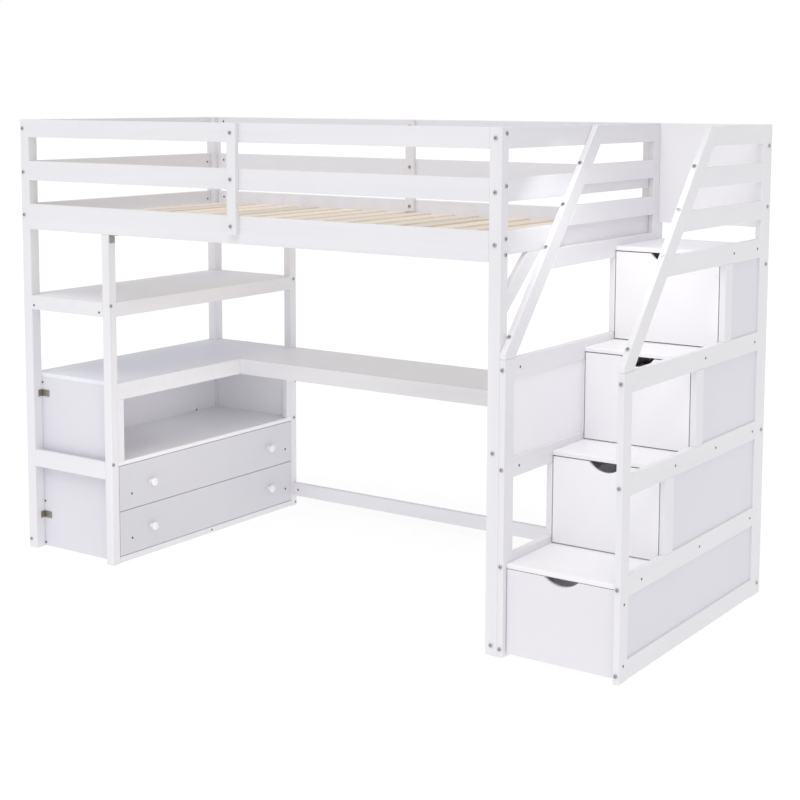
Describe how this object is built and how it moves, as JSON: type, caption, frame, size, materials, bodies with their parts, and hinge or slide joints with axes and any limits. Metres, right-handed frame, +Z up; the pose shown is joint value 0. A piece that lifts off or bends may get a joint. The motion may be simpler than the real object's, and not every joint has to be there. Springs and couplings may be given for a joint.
{
  "type": "loft bed",
  "caption": "Raised wooden bed with guard rails over an L-shaped desk, shelf and drawer cabinet, reached by a storage staircase with handrails.",
  "frame": {"origin": "on the floor, under the centre of the whole footprint", "axes": "+X along the bed towards the staircase, +Y from the front to the back, +Z up"},
  "size_m": [2.465, 1.085, 1.6],
  "materials": {
    "painted_wood": "smooth satin white paint on solid wood",
    "painted_board": "satin white coated board",
    "pine": "bare sanded pine",
    "steel": "dark plated bolt and screw heads",
    "zinc": "zinc-plated pressed steel"
  },
  "bodies": {
    "frame": {"post_front_left": "painted_wood", "post_back_left": "painted_wood", "post_front_right": "painted_wood", "post_back_right": "painted_wood", "guard_rails_front": "painted_wood", "side_rail_front": "painted_wood", "guard_rails_back": "painted_wood", "side_rail_back": "painted_wood", "end_rails_left": "painted_wood", "end_rails_right": "painted_wood", "guard_stiles": "painted_wood", "slat_ledgers": "painted_wood", "slats": "pine", "back_stretcher": "painted_wood", "corner_brace": "painted_wood", "inner_post_front": "painted_wood", "inner_post_back": "painted_wood", "shelf_board": "painted_board", "shelf_edges": "painted_wood", "desk_top_left": "painted_board", "desk_top_back": "painted_board", "desk_aprons": "painted_wood", "cabinet_front_panel": "painted_board", "cabinet_front_rail": "painted_wood", "cabinet_left_panel": "painted_board", "cabinet_back_panel": "painted_board", "cubby_floor": "painted_board", "cabinet_face_frame": "painted_wood", "drawer_runners": "painted_board", "stair_posts_front": "painted_wood", "stair_posts_back": "painted_wood", "stair_rails_left": "painted_wood", "stair_rails_right": "painted_wood", "stair_stiles": "painted_wood", "stair_panels": "painted_board", "stair_treads": "painted_wood", "stair_floor": "painted_board", "stair_back_panel": "painted_wood", "guard_back_panel": "painted_wood", "stair_guard_left": "painted_wood", "stair_guard_right": "painted_wood", "handrails": "painted_wood", "bolts": "steel", "screws": "steel", "brackets": "zinc"},
    "upper_drawer": {"upper_drawer_front": "painted_wood", "upper_drawer_box": "painted_board", "upper_drawer_fittings": "painted_wood"},
    "lower_drawer": {"lower_drawer_front": "painted_wood", "lower_drawer_box": "painted_board", "lower_drawer_fittings": "painted_wood"},
    "step_drawer_1": {"step_drawer_1_front": "painted_wood", "step_drawer_1_box": "painted_board"},
    "step_drawer_2": {"step_drawer_2_front": "painted_wood", "step_drawer_2_box": "painted_board"},
    "step_drawer_3": {"step_drawer_3_front": "painted_wood", "step_drawer_3_box": "painted_board"},
    "step_drawer_4": {"step_drawer_4_front": "painted_wood", "step_drawer_4_box": "painted_board"}
  },
  "joints": [
    {"name": "upper_drawer_slide", "type": "slide", "parent": "frame", "child": "upper_drawer", "axis": [1, 0, 0], "range_m": [0, 0.3]},
    {"name": "lower_drawer_slide", "type": "slide", "parent": "frame", "child": "lower_drawer", "axis": [1, 0, 0], "range_m": [0, 0.3]},
    {"name": "step_drawer_1_slide", "type": "slide", "parent": "frame", "child": "step_drawer_1", "axis": [0, -1, 0], "range_m": [0, 0.55]},
    {"name": "step_drawer_2_slide", "type": "slide", "parent": "frame", "child": "step_drawer_2", "axis": [0, -1, 0], "range_m": [0, 0.42]},
    {"name": "step_drawer_3_slide", "type": "slide", "parent": "frame", "child": "step_drawer_3", "axis": [0, -1, 0], "range_m": [0, 0.28]},
    {"name": "step_drawer_4_slide", "type": "slide", "parent": "frame", "child": "step_drawer_4", "axis": [0, -1, 0], "range_m": [0, 0.15]}
  ]
}
